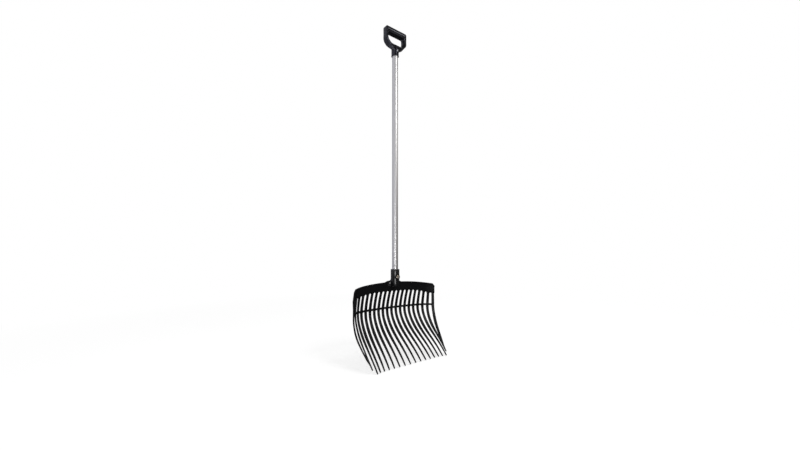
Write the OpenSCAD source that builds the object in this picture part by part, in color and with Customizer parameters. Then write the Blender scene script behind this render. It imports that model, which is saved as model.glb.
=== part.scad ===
// Manure fork: a moulded D-grip and a moulded, many-tined scoop head on an aluminium tube.
// The origin is the middle of the underside of the grip's bar, where a hook carries the fork.
// +Z runs up the tube. The load side of the head, with the bolt head, faces -Y.

/* [Handle tube] */
// Outside diameter of the tube
tube_od = 25; // [22:0.5:30]
// Wall of the tube
tube_wall = 1.5; // [1:0.1:2.5]
// Length of the tube, end to end
tube_len = 1007; // [600:1:1300]
// Radial clearance of the tube in its two sockets
tube_clearance = 0.15; // [0.1:0.05:0.4]

/* [D-grip] */
// Width of the grip
grip_w = 110; // [100:1:130]
// Thickness of the grip, front to back
grip_t = 25; // [20:1:28]
// Height of the bar that the hand holds
bar_h = 26; // [18:0.5:32]
// Width of the two legs
leg_w = 14.5; // [11:0.5:18]
// Height of the hand gap under the bar
hand_gap_h = 40; // [36:0.5:60]
// Radius of the grip's upper corners
grip_corner_r = 6; // [3:0.5:8]
// Radius of the outer bends at the foot of the legs
leg_bend_r = 16; // [10:1:22]
// Radius of the upper corners of the hand gap
gap_corner_r = 5; // [2:0.5:8]
// Radius of the lower corners of the hand gap
gap_bend_r = 26; // [15:1:30]
// Chamfer on the grip's edges
grip_edge = 4.5; // [1:0.5:6]
// Solid web between the hand gap and the end of the tube
grip_web = 11; // [8:0.5:20]
// Depth of the tube in the grip's neck
grip_socket_depth = 34; // [28:1:60]
// Wall of the neck around the tube
neck_wall = 2; // [1.6:0.1:4]
// Wall of the flared rim at the foot of the neck
rim_wall = 2.8; // [2.2:0.1:6]
// Height of the flared rim
rim_h = 6; // [3:0.5:12]

/* [Grip screw] */
// Diameter of the screw
screw_d = 4.2; // [3.5:0.1:5]
// Length of the screw under its head
screw_len = 12; // [8:0.5:16]
// Diameter of the pan head
screw_head_d = 8.5; // [7:0.5:10]
// Height of the pan head
screw_head_h = 2.6; // [2:0.1:3.5]
// Height of the screw above the foot of the neck
screw_height = 16; // [13:0.5:20]
// Diameter of the flat seat under the screw head
screw_seat_d = 11.5; // [10.5:0.5:14]
// How far the screw's seat stands out of the neck
screw_seat_proud = 0.8; // [0.4:0.1:2]

/* [Head socket] */
// Wall of the socket around the tube
socket_wall = 3.6; // [3:0.1:6]
// Depth of the tube in the socket
head_socket_depth = 66; // [50:1:90]
// Thickness of the socket's floor
socket_floor = 6.5; // [4:0.5:12]
// Diameter of the raised seat under the bolt head
boss_d = 20; // [17:0.5:24]
// How far the bolt's seat stands out of the socket
boss_proud = 1; // [0.5:0.1:4]

/* [Head bolt] */
// Diameter of the bolt
bolt_d = 6; // [5:0.5:8]
// Width across the flats of the bolt head and the nut
bolt_flats = 10; // [9:0.5:13]
// Height of the bolt head
bolt_head_h = 4; // [3:0.5:6]
// Height of the nut
nut_h = 5; // [4:0.5:8]
// Wall under the nut, between its pocket and the tube
nut_floor = 1.6; // [1.2:0.1:2.4]
// Length of thread that stands out of the nut
bolt_tail = 1.5; // [1:0.5:6]
// Diameter of the washer under the bolt head
washer_d = 14; // [12:0.5:16.5]
// Thickness of the washer
washer_t = 1.6; // [1:0.1:2.5]
// Distance of the bolt below the top of the socket
bolt_drop = 31; // [18:0.5:34]
// Radial clearance of the bolt and the screw in their holes
bolt_clearance = 0.2; // [0.1:0.05:0.5]

/* [Rail] */
// Distance of the rail's top below the top of the socket
rail_drop = 53; // [48:0.5:60]
// Height of the rail in the middle, down to the tops of the slots
rail_h = 34; // [26:0.5:50]
// Thickness of the rail
rail_t = 7.5; // [6:0.5:12]
// How far the rail's lower edge lies behind the tube's axis
rail_set_back = 19.5; // [14:0.5:24]
// Lean of the rail from the vertical, in degrees
rail_tilt = 9; // [4:0.5:16]
// How far the rail's top drops from the middle to the ends
rail_arch = 17; // [0:0.5:22]
// How far the tops of the slots drop from the middle to the ends
slot_arch = 24; // [8:0.5:28]
// Radius of the rail's upper corners
rail_corner_r = 11; // [4:0.5:16]
// Height of the shoulder beside the socket, above the rail
shoulder_h = 5.5; // [4:0.5:9]
// Half width of the top of the shoulder
shoulder_half_w = 30; // [24:0.5:36]
// Half width of the foot of the shoulder
shoulder_foot_half_w = 41; // [38:0.5:50]
// Height of the lip along the rail's top
lip_h = 5; // [3:0.5:8]
// How far the lip stands out of the rail's front
lip_proud = 1.5; // [1:0.5:4]

/* [Bow of the head, seen from above] */
// Half width of the gently bowed middle of the head
bow_half_w = 140; // [120:1:150]
// Forward bow of the rail over that half width
rail_bow = 7.5; // [2:0.5:14]
// Forward bow of the cross brace over that half width
brace_bow = 12; // [4:0.5:18]
// Radius of the rail's forward-curving ends
rail_end_r = 115; // [100:1:150]
// Radius of the cross brace's forward-curving ends
brace_end_r = 100; // [92:1:140]

/* [Cross brace] */
// Clear height of the slots between the rail and the brace
slot_h = 69; // [50:0.5:90]
// Height of the brace
brace_h = 6; // [4:0.5:9]
// Depth of the brace, front to back
brace_t = 4.2; // [3:0.1:4.4]
// How far the middle of the brace lies behind the tube's axis
brace_set_back = 38; // [26:0.5:46]

/* [Tines] */
// Spacing of the tines along the bowed brace
tine_pitch = 22.6; // [20:0.1:23.2]
// Width of a tine down to the brace
tine_w = 8; // [6:0.1:9.5]
// Depth of a tine down to the brace
tine_t = 6; // [5.2:0.1:9]
// Width of a tine at its tip
tip_w = 5; // [3:0.1:6]
// Depth of a tine at its tip
tip_t = 4.4; // [3:0.1:5]
// Drop from the brace to the tips
tine_drop = 184; // [140:1:230]
// Reach of the tips in front of the tube's axis
tip_reach = 109; // [70:1:130]
// How much further the furthest of the outer tips reaches
tip_bow = 9; // [0:0.5:16]
// Lean of the tips from the vertical, in degrees
tip_lean = 40; // [20:1:50]

/* [Hidden] */
// One overrun serves all cuts
overrun = 1;
$fn = 64;

tine_count = 20;
side_count = tine_count / 2;
function tine_name(i) = str("tine_", i < 10 ? "0" : "", i);

plastic = "#18191b";
aluminium = "#c3c4c8";
zinc = "#b4ada0";

// How the tines spread, curve and merge, as shares of the sizes that they follow
fan_share = 0.19;
fan_power = 1.5;
rail_lean_share = 1.45;
brace_lean_share = 0.46;
outer_tip_share = 0.94;
meet_share = 0.72;
merge_share = 0.84;
corner_share = 0.27;
tip_round_share = 0.35;
// How quickly the rail's two edges drop towards the ends
rail_arch_power = 2.2;
slot_arch_power = 3.5;
// How far each tip reaches out beyond the middle ones, from the middle to the end
tip_bow_shares = [0, 0, 0, 0, 0, 0.1, 0.35, 1, 0.6, 0.2];
// Share of a tine's path over which its lean is taken
lean_step = 0.01;

// Rings of a tine above and below the brace
upper_rings = 5;
lower_rings = 13;
// Points along half of the rail's bowed edges and along its top corner
bow_steps = 20;
corner_steps = 6;
// Gap that keeps the two joined outer tines from overlapping
knit_clearance = 0.05;

// Levels, from the bar down to the tips
tube_top_z = -hand_gap_h - grip_web;
neck_foot_z = tube_top_z - grip_socket_depth;
tube_foot_z = tube_top_z - tube_len;
socket_top_z = tube_foot_z + head_socket_depth;
socket_foot_z = tube_foot_z - socket_floor;
bolt_z = socket_top_z - bolt_drop;
rail_top_z = socket_top_z - rail_drop;
slot_top_z = rail_top_z - rail_h;
brace_z = slot_top_z - slot_h - brace_h / 2;
tip_z = brace_z - brace_h / 2 - tine_drop;
screw_z = neck_foot_z + screw_height;

// Radii
tube_r = tube_od / 2;
tube_bore_r = tube_r + tube_clearance;
neck_r = tube_bore_r + neck_wall;
rim_r = tube_bore_r + rim_wall;
socket_r = tube_bore_r + socket_wall;
screw_hole_r = screw_d / 2 + bolt_clearance;
bolt_hole_r = bolt_d / 2 + bolt_clearance;

// Distances of the fasteners' seats from the tube's axis
screw_seat_y = neck_r + screw_seat_proud;
boss_y = socket_r + boss_proud;
washer_y = boss_y + washer_t;
nut_y = tube_bore_r + nut_floor;

function mix(a, b, share) = a + (b - a) * share;
function arc_points(c, r, from, to, steps) =
    [for (k = [0:steps]) let (a = mix(from, to, k / steps)) c + r * [cos(a), sin(a)]];

// A cubic between two values with a given rise at each end
function hermite(a, b, rise_a, rise_b, t) =
    a * (1 + 2 * t) * pow(1 - t, 2) + b * t * t * (3 - 2 * t)
    + rise_a * t * pow(1 - t, 2) - rise_b * t * t * (1 - t);

// The bow of the head: a shallow parabola in the middle, then an arc at each end.
// A curve is the rise of its middle and the radius of its ends.
rail_curve = [rail_bow, rail_end_r];
brace_curve = [brace_bow, brace_end_r];
function end_angle(curve) = atan(2 * curve[0] / bow_half_w);
function end_centre_x(curve) = bow_half_w - curve[1] * sin(end_angle(curve));
function end_rise(x, curve) =
    curve[0] + curve[1] * cos(end_angle(curve))
    - sqrt(pow(curve[1], 2) - pow(x - end_centre_x(curve), 2));
function bow_rise(x, curve) =
    abs(x) <= bow_half_w ? curve[0] * pow(x / bow_half_w, 2) : end_rise(abs(x), curve);

// Tines are spaced evenly along the bowed brace; side 1 is next to the middle
function tine_x(side) =
    let (s = (side - 1 / 2) * tine_pitch)
    s <= bow_half_w ? s
    : end_centre_x(brace_curve)
      + brace_end_r * sin(end_angle(brace_curve) + (s - bow_half_w) / brace_end_r * 180 / PI);
rail_half_w = tine_x(side_count) + tine_w / 2;

// Forward distances of the rail, the brace and the tips from the tube's axis
function rail_forward(x, z) =
    bow_rise(x, rail_curve) - rail_set_back + (z - slot_top_z) * tan(rail_tilt);
function brace_forward(x) = bow_rise(x, brace_curve) - brace_set_back;
function tip_forward(side) = tip_reach + tip_bow * tip_bow_shares[side - 1];

// Edges of the rail, seen from the front
function rail_edge_z(x) = rail_top_z - rail_arch * pow(abs(x) / rail_half_w, rail_arch_power);
function slot_edge_z(x) = slot_top_z - slot_arch * pow(abs(x) / rail_half_w, slot_arch_power);
function slot_half_w(k) = (slot_right(k) - slot_left(k)) / 2;
function signed_tine_x(i) = i > side_count ? tine_x(i - side_count) : -tine_x(side_count + 1 - i);
function slot_left(k) = signed_tine_x(k) + tine_w / 2;
function slot_right(k) = signed_tine_x(k + 1) - tine_w / 2;
function slot_x(k) = (slot_left(k) + slot_right(k)) / 2;
function slot_spring_z(k) = slot_edge_z(slot_x(k)) - slot_half_w(k);
// A tine starts where the lower of its two slots becomes straight
function root_z(side) =
    min(slot_spring_z(side_count + side - 1), slot_spring_z(min(side_count + side, tine_count - 1)));

// The path of a tine: x, forward distance, z, lean, width and depth at each ring
function upper_ring(side, v) =
    let (x = tine_x(side), top = root_z(side), drop = top - brace_z)
    let (a = rail_forward(x, top), b = brace_forward(x))
    let (f = hermite(a, b, rail_lean_share * (b - a), brace_lean_share * (b - a), v))
    [x, f, top - drop * v, v == 0 ? 0 : hermite_lean(a, b, drop, v), tine_w, tine_t];
function hermite_lean(a, b, drop, v) =
    let (rises = [rail_lean_share, brace_lean_share] * (b - a))
    atan((hermite(a, b, rises[0], rises[1], v) - hermite(a, b, rises[0], rises[1], v - lean_step))
         / (drop * lean_step));
function lower_x(side, t) =
    side < side_count
    ? tine_x(side) * (1 + fan_share * (1 - pow(tine_x(side) / tine_x(side_count - 1), 2))
                          * pow(t, fan_power))
    : mix(tine_x(side), lower_x(side - 1, meet_share) + lower_w(meet_share),
          pow(t / meet_share, fan_power));
function lower_w(t) = mix(tine_w, tip_w, t);
function lower_f(side, t) =
    let (x = tine_x(side), drop = brace_z - tip_z)
    let (a = rail_forward(x, root_z(side)), b = brace_forward(x))
    let (rise_b = brace_lean_share * (b - a) / (root_z(side) - brace_z) * drop)
    hermite(b, tip_forward(side), rise_b, tan(tip_lean) * drop, t);
function lower_ring(side, t) =
    let (drop = brace_z - tip_z)
    [lower_x(side, t), lower_f(side, t), brace_z - drop * t,
     atan((lower_f(side, t) - lower_f(side, t - lean_step)) / (drop * lean_step)),
     lower_w(t), mix(tine_t, tip_t, t)];

// Two edges of a ring: the outermost tine is trimmed where it joins its neighbour
function ring_outer(r) = r[0] + r[4] / 2;
function ring_inner(side, r) =
    side < side_count || r[2] > brace_z ? r[0] - r[4] / 2
    : max(r[0] - r[4] / 2,
          let (t = (brace_z - r[2]) / (brace_z - tip_z))
          lower_x(side - 1, t) + lower_w(t) / 2 + knit_clearance);

// Eight points of a ring, square to the path, or level where the tine leaves the rail
function ring_points(side, r, size) =
    let (outer = ring_outer(r), inner = ring_inner(side, r))
    let (x = (outer + inner) / 2, half_w = (outer - inner) / 2 * size, half_t = r[5] / 2 * size)
    let (cut = 2 * corner_share * min(half_w, half_t))
    let (flat = [[half_w, half_t - cut], [half_w - cut, half_t],
                 [cut - half_w, half_t], [-half_w, half_t - cut],
                 [-half_w, cut - half_t], [cut - half_w, -half_t],
                 [half_w - cut, -half_t], [half_w, cut - half_t]])
    [for (p = flat) [x + p[0], -r[1] - p[1] * cos(r[3]), r[2] + p[1] * sin(r[3])]];

// A closed solid through rings of equal numbers of points
module loft(rings) {
    per_ring = len(rings[0]);
    last = len(rings) - 1;
    sides = [for (i = [0:last - 1], k = [0:per_ring - 1])
        let (a = i * per_ring + k, b = i * per_ring + (k + 1) % per_ring)
        [[a, b, b + per_ring], [a, b + per_ring, a + per_ring]]];
    caps = [[for (k = [per_ring - 1:-1:0]) k], [for (k = [0:per_ring - 1]) last * per_ring + k]];
    polyhedron(
        points = [for (ring = rings, p = ring) p],
        faces = concat([for (pair = sides, face = pair) face], caps));
}

// A tine of the right-hand half
module side_tine(side) {
    foot_share = side == side_count ? merge_share : side == side_count - 1 ? outer_tip_share : 1;
    upper = [for (k = [0:upper_rings - 1]) upper_ring(side, k / upper_rings)];
    lower = [for (k = [0:lower_rings]) lower_ring(side, foot_share * k / lower_rings)];
    foot = lower[lower_rings];
    nose = tip_t * tip_round_share;
    nose_ring = [foot[0], foot[1] + nose * sin(foot[3]), foot[2] - nose * cos(foot[3]),
                 foot[3], foot[4], foot[5]];
    body = [for (r = concat(upper, lower)) ring_points(side, r, 1)];
    loft(side == side_count ? body : concat(body, [ring_points(side, nose_ring, 1 - tip_round_share)]));
}

module tine(i) {
    color(plastic)
    if (i > side_count) side_tine(i - side_count);
    else mirror([1, 0, 0]) side_tine(side_count + 1 - i);
}

// Short bars of the brace, from the side of one tine to the side of the next
module brace_bar(k) {
    left_f = brace_forward(signed_tine_x(k));
    right_f = brace_forward(signed_tine_x(k + 1));
    square_ring = [[1, 1], [1, -1], [-1, -1], [-1, 1]];
    ends = [[slot_left(k), left_f], [slot_right(k), right_f]];
    loft([for (e = ends) [for (p = square_ring)
        [e[0], p[0] * brace_t / 2 - e[1], brace_z + p[1] * brace_h / 2]]]);
}

module cross_brace() {
    color(plastic) for (k = [1:tine_count - 1]) brace_bar(k);
}

// Half outline of the grip: upper corner, foot of the leg, then the neck
grip_half_w = grip_w / 2;
bend_centre = [grip_half_w - leg_bend_r, -hand_gap_h + leg_w];
neck_centre = [0, tube_top_z];
neck_line = neck_centre - bend_centre;
tangent_angle = atan2(neck_line[1], neck_line[0]) + acos((leg_bend_r - neck_r) / norm(neck_line));
function grip_half(inset) = concat(
    arc_points(bend_centre, leg_bend_r - inset, tangent_angle, 0, corner_steps),
    arc_points([grip_half_w, bar_h] - grip_corner_r * [1, 1], grip_corner_r - inset, 0, 90, corner_steps));
function neck_arc(inset) =
    arc_points(neck_centre, neck_r - inset, -180 - tangent_angle, tangent_angle, 2 * corner_steps);
function mirrored(points) = [for (k = [len(points) - 1:-1:0]) [-points[k][0], points[k][1]]];
module grip_outline(inset) {
    half = grip_half(inset);
    polygon(concat(neck_arc(inset), half, mirrored(half)));
}
gap_half_w = grip_half_w - leg_w;
function gap_half(inset) = concat(
    arc_points([gap_half_w - gap_bend_r, gap_bend_r - hand_gap_h], gap_bend_r + inset, -90, 0, corner_steps),
    arc_points([gap_half_w, 0] - gap_corner_r * [1, 1], gap_corner_r + inset, 0, 90, corner_steps));
module gap_outline(inset) {
    half = gap_half(inset);
    polygon(concat(half, mirrored(half)));
}

// Stands an outline up, so that its second axis is Z, centred on the tube's axis
module upright(depth) {
    rotate([90, 0, 0]) linear_extrude(depth, center = true) children();
}

// The flare that rounds both edges of the hand gap
module gap_flare() {
    hull() {
        translate([0, -grip_t / 2, 0]) upright(overrun) gap_outline(grip_edge);
        translate([0, -grip_t / 2 + grip_edge, 0]) upright(overrun) gap_outline(0);
    }
}

module d_grip() {
    color(plastic)
    difference() {
        union() {
            hull() {
                upright(grip_t - 2 * grip_edge) grip_outline(0);
                upright(grip_t) grip_outline(grip_edge);
            }
            translate([0, 0, neck_foot_z]) cylinder(r = neck_r, h = tube_top_z - neck_foot_z);
            translate([0, 0, neck_foot_z]) cylinder(r1 = rim_r, r2 = neck_r, h = rim_h);
            translate([0, 0, screw_z]) rotate([90, 0, 0]) cylinder(d = screw_seat_d, h = screw_seat_y);
        }
        upright(grip_t + 2 * overrun) gap_outline(0);
        gap_flare();
        mirror([0, 1, 0]) gap_flare();
        translate([0, 0, neck_foot_z - overrun])
            cylinder(r = tube_bore_r, h = grip_socket_depth + overrun);
        translate([0, 0, screw_z]) rotate([90, 0, 0])
            cylinder(r = screw_hole_r, h = screw_seat_y + overrun);
    }
}

module grip_screw() {
    crown_h = screw_head_h / 2;
    color(zinc)
    translate([0, -screw_seat_y, screw_z]) rotate([90, 0, 0]) {
        translate([0, 0, -screw_len]) cylinder(d = screw_d, h = screw_len);
        cylinder(d = screw_head_d, h = crown_h);
        translate([0, 0, crown_h])
            cylinder(d1 = screw_head_d, d2 = screw_head_d / 2, h = screw_head_h - crown_h);
    }
}

module handle_tube() {
    color(aluminium)
    difference() {
        translate([0, 0, tube_foot_z]) cylinder(r = tube_r, h = tube_len);
        translate([0, 0, tube_foot_z - overrun])
            cylinder(r = tube_r - tube_wall, h = tube_len + 2 * overrun);
        translate([0, 0, screw_z]) rotate([90, 0, 0])
            cylinder(r = screw_hole_r, h = tube_r + overrun);
        translate([0, 0, bolt_z]) rotate([90, 0, 0])
            cylinder(r = bolt_hole_r, h = tube_od + 2 * overrun, center = true);
    }
}

module hex(flats, h) {
    cylinder(d = flats / cos(30), h = h, $fn = 6);
}

module socket_body() {
    translate([0, 0, socket_foot_z]) cylinder(r = socket_r, h = socket_top_z - socket_foot_z);
}

module head_socket() {
    color(plastic)
    difference() {
        union() {
            socket_body();
            translate([0, 0, bolt_z]) rotate([90, 0, 0]) cylinder(d = boss_d, h = boss_y);
        }
        translate([0, 0, tube_foot_z]) cylinder(r = tube_bore_r, h = head_socket_depth + overrun);
        translate([0, 0, bolt_z]) rotate([90, 0, 0])
            cylinder(r = bolt_hole_r, h = 2 * boss_y + 2 * overrun, center = true);
        translate([0, nut_y, bolt_z]) rotate([-90, 0, 0]) hex(bolt_flats + 2 * bolt_clearance, boss_y);
    }
}

// Top edge of the rail's right half, from its end to the shoulder beside the socket
corner_z = rail_edge_z(rail_half_w - rail_corner_r) - rail_corner_r;
rail_top_half = concat(
    arc_points([rail_half_w - rail_corner_r, corner_z], rail_corner_r, 0, 90, corner_steps),
    [for (k = [bow_steps - 1:-1:0])
        let (x = mix(shoulder_foot_half_w, rail_half_w - rail_corner_r, k / bow_steps)) [x, rail_edge_z(x)]],
    [[shoulder_half_w, rail_top_z + shoulder_h]]);

// Bottom steps of the rail's right half: each tine hangs from a level stretch
rail_foot_half = [for (side = [1:side_count])
    let (from = side == 1 ? 0 : slot_x(side_count + side - 1))
    let (to = side == side_count ? rail_half_w : slot_x(side_count + side))
    each [[from, root_z(side)], [to, root_z(side)]]];

module rail_outline() {
    half = concat(rail_foot_half, rail_top_half);
    difference() {
        polygon(concat(half, mirrored(half)));
        for (k = [1:tine_count - 1]) {
            translate([slot_x(k), slot_spring_z(k)]) circle(slot_half_w(k));
            translate([slot_left(k), slot_spring_z(k) - slot_h])
                square([2 * slot_half_w(k), slot_h]);
        }
    }
}

// Strip along the rail's top edge
module lip_outline() {
    difference() {
        polygon(concat(rail_top_half, mirrored(rail_top_half)));
        translate([0, -lip_h]) polygon(concat(rail_top_half, mirrored(rail_top_half)));
    }
}

// A leaning wall that follows the bow of the rail
module bowed_wall(front, back) {
    xs = [for (k = [-bow_steps:bow_steps]) (rail_half_w + overrun) * k / bow_steps];
    wall_h = rail_h + slot_arch + rail_arch + rail_corner_r;
    edge = [for (x = xs) [x, -bow_rise(x, rail_curve) * cos(rail_tilt)]];
    translate([0, rail_set_back, slot_top_z]) rotate([rail_tilt, 0, 0])
        translate([0, 0, -wall_h]) linear_extrude(2 * wall_h)
            polygon(concat([for (p = edge) p - [0, front]],
                           [for (k = [len(edge) - 1:-1:0]) edge[k] + [0, back]]));
}

module head_rail() {
    reach = 2 * (rail_set_back + tip_reach);
    color(plastic)
    difference() {
        union() {
            intersection() {
                bowed_wall(rail_t / 2, rail_t / 2);
                upright(reach) rail_outline();
            }
            intersection() {
                bowed_wall(rail_t / 2 + lip_proud, rail_t / 2);
                upright(reach) lip_outline();
            }
        }
        socket_body();
    }
}

module head_bolt() {
    shank_foot = nut_y + nut_h + bolt_tail;
    color(zinc)
    translate([0, 0, bolt_z]) rotate([90, 0, 0]) {
        translate([0, 0, -shank_foot]) cylinder(d = bolt_d, h = shank_foot + washer_y);
        translate([0, 0, washer_y]) hex(bolt_flats, bolt_head_h);
    }
}

module head_washer() {
    color(zinc)
    translate([0, -boss_y, bolt_z]) rotate([90, 0, 0])
        difference() {
            cylinder(d = washer_d, h = washer_t);
            translate([0, 0, -overrun]) cylinder(r = bolt_hole_r, h = washer_t + 2 * overrun);
        }
}

module head_nut() {
    color(zinc)
    translate([0, nut_y, bolt_z]) rotate([-90, 0, 0])
        difference() {
            hex(bolt_flats, nut_h);
            translate([0, 0, -overrun]) cylinder(r = bolt_hole_r, h = nut_h + 2 * overrun);
        }
}

d_grip();
grip_screw();
handle_tube();
head_socket();
head_rail();
cross_brace();
for (i = [1:tine_count]) tine(i);
head_bolt();
head_washer();
head_nut();
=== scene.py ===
# Manure fork: the looks of a moulded D-grip and a moulded scoop head on an aluminium tube.
import math
from collections import namedtuple

import bmesh
import bpy
import numpy as np
from mathutils import Matrix, Vector


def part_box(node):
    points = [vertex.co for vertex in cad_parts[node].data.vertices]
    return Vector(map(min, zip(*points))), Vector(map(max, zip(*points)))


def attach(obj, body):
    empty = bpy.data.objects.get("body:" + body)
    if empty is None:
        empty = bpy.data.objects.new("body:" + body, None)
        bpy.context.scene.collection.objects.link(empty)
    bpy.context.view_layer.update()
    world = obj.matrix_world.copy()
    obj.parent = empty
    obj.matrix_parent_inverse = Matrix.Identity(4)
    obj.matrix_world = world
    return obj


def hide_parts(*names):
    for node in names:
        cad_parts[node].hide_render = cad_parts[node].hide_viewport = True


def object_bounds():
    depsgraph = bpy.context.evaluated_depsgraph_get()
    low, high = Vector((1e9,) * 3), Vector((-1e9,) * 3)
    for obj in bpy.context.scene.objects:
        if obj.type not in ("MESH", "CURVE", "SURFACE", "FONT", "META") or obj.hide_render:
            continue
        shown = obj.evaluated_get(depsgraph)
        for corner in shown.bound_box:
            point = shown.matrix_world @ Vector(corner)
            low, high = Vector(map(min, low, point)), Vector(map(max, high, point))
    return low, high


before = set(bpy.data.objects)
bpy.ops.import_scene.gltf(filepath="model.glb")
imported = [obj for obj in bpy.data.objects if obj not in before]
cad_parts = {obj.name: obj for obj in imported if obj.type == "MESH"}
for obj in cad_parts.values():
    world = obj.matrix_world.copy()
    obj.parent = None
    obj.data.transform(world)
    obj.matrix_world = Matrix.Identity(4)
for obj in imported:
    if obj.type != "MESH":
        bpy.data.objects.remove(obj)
CAD_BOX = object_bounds()
MM = 0.001
X, Y, Z = 0, 1, 2

# Names of the tines' solids, and the two pairs of an outermost tine and its neighbour
TINES = [f"tine_{i:02d}" for i in range(1, 21)]
OUTER_PAIRS = [(0, 1), (19, 18)]

# Camera, as fitted to the photograph: 800 by 450 pixels, wide lens, close to the fork
IMAGE_W = 800
FOCAL_PX = 341.135
AXIS_PX = 395.05
EYE_DISTANCE = 1.4027
EYE_HEIGHT = -0.918
EYE_AZIMUTH = math.radians(38.562)
EYE_PITCH = math.radians(4.351)
SENSOR_W = 36.0
CLIP_START = 0.05


# Measuring the solids

# A cut is moved by this much, so that it never runs through a row of corners
CUT_NUDGE = 0.003 * MM


def solid_edges(node):
    """Both ends of every edge of a solid, as an array of edge, end and axis."""
    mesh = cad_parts[node].data
    points = np.array([v.co for v in mesh.vertices])
    pairs = np.array([e.vertices[:] for e in mesh.edges])
    return points[pairs]


def cut(edges, axis, level):
    """Lowest and highest corner of the cut that a plane square to an axis makes."""
    level += CUT_NUDGE
    a, b = edges[:, 0], edges[:, 1]
    crossing = (a[:, axis] - level) * (b[:, axis] - level) < 0
    a, b = a[crossing], b[crossing]
    share = (level - a[:, axis]) / (b[:, axis] - a[:, axis])
    hits = a + (b - a) * share[:, None]
    return hits.min(axis=0), hits.max(axis=0)


def middle_z(node):
    low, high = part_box(node)
    return (low.z + high.z) / 2


# Building meshes

WELD = 0.01 * MM
RING_POINTS = 72
FACE_FRONT = Matrix.Rotation(math.radians(90), 4, "X")
FACE_BACK = Matrix.Rotation(math.radians(-90), 4, "X")


def mix(a, b, share):
    return a + (b - a) * share


def ease(share):
    """A share that starts and ends gently, clamped."""
    share = min(max(share, 0.0), 1.0)
    return share * share * (3 - 2 * share)


def add_object(name, points, faces):
    mesh = bpy.data.meshes.new(name)
    mesh.from_pydata([tuple(p) for p in points], [], faces)
    obj = bpy.data.objects.new(name, mesh)
    bpy.context.scene.collection.objects.link(obj)
    return obj


def tidy_mesh(obj, weld=WELD):
    """Welds doubled points, drops what has no face and turns every face outwards."""
    bm = bmesh.new()
    bm.from_mesh(obj.data)
    bmesh.ops.remove_doubles(bm, verts=bm.verts, dist=weld)
    bmesh.ops.dissolve_degenerate(bm, edges=bm.edges, dist=weld)
    bmesh.ops.recalc_face_normals(bm, faces=bm.faces)
    bm.to_mesh(obj.data)
    bm.free()


def smooth(obj, angle=None):
    """Smooth shading, with edges sharper than an angle kept crisp."""
    obj.data.shade_smooth()
    if angle is not None:
        obj.data.set_sharp_from_angle(angle=math.radians(angle))


def loft(name, rings, caps=True):
    """A closed skin through rings of equal numbers of points; without caps it ends where it starts."""
    n = len(rings[0])
    points = [p for ring in rings for p in ring]
    faces = []
    for i in range(len(rings) - 1):
        for k in range(n):
            a, b = i * n + k, i * n + (k + 1) % n
            faces.append((a, b, b + n, a + n))
    if caps:
        faces.append(tuple(range(n - 1, -1, -1)))
        faces.append(tuple(range(len(points) - n, len(points))))
    else:
        last = len(points) - n
        for k in range(n):
            faces.append((last + k, last + (k + 1) % n, (k + 1) % n, k))
    obj = add_object(name, points, faces)
    tidy_mesh(obj)
    return obj


def round_ring(r, z, points=RING_POINTS):
    turns = [2 * math.pi * k / points for k in range(points)]
    return [Vector((r * math.cos(a), r * math.sin(a), z)) for a in turns]


def hex_ring(flats, z, top_r=None, drop=0.0):
    """A six-sided ring; with a chamfer, its corners dip below the given height."""
    ring = []
    for k in range(RING_POINTS):
        a = 2 * math.pi * k / RING_POINTS
        sector = (a + math.pi / 6) % (math.pi / 3) - math.pi / 6
        r = flats / 2 / math.cos(sector)
        dip = drop * max(0.0, r - top_r) if top_r else 0.0
        ring.append(Vector((r * math.cos(a), r * math.sin(a), z - dip)))
    return ring


def sleeve(name, inner, outer, foot, top, edge, points=RING_POINTS):
    """A turned sleeve with softened edges: a tube or a washer."""
    profile = [
        (inner, foot + edge), (inner + edge, foot), (outer - edge, foot), (outer, foot + edge),
        (outer, top - edge), (outer - edge, top), (inner + edge, top), (inner, top - edge),
    ]
    return loft(name, [round_ring(r, z, points) for r, z in profile], caps=False)


def placed(obj, turn, at):
    """Turns a piece that was made along +Z and moves it, in its mesh."""
    obj.data.transform(Matrix.Translation(at) @ turn)
    obj.data.update()
    return obj


def bake_modifiers(obj):
    """Keeps what the modifiers make as the object's own mesh."""
    graph = bpy.context.evaluated_depsgraph_get()
    mesh = bpy.data.meshes.new_from_object(obj.evaluated_get(graph))
    obj.modifiers.clear()
    obj.data = mesh


def combine(obj, other, operation):
    """Adds another closed shape to an object, or cuts it out, and removes it."""
    step = obj.modifiers.new(operation.lower(), "BOOLEAN")
    step.operation = operation
    step.solver = "MANIFOLD"
    step.object = other
    bpy.context.view_layer.update()
    bake_modifiers(obj)
    bpy.data.objects.remove(other)


def subdivide(obj, levels):
    step = obj.modifiers.new("subdivision", "SUBSURF")
    step.levels = levels
    step.render_levels = levels


def crease_corners(obj, angle, strength):
    """Marks edges sharper than an angle, so that subdivision rounds them less."""
    bm = bmesh.new()
    bm.from_mesh(obj.data)
    crease = bm.edges.layers.float.new("crease_edge")
    for edge in bm.edges:
        if len(edge.link_faces) == 2 and edge.calc_face_angle() > angle:
            edge[crease] = strength
    bm.to_mesh(obj.data)
    bm.free()


def finish_piece(obj, slot, material, *nodes):
    """Gives a piece its material and its place in the frame."""
    obj.data.materials.clear()
    obj.data.materials.append(material)
    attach(obj, "root")
    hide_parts(*nodes)


# Materials

BLACK_TONES = ((0.0028, 0.0029, 0.0034), (0.0055, 0.0056, 0.0066))
SCUFF_GREY = (0.012, 0.012, 0.013)
WORN_GREY = (0.018, 0.0175, 0.017)
ALUMINIUM_TONES = ((0.655, 0.655, 0.67), (0.7, 0.695, 0.69))
LINE_GREY = (0.5, 0.5, 0.51)
MARK_GREY = (0.46, 0.455, 0.45)
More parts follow.
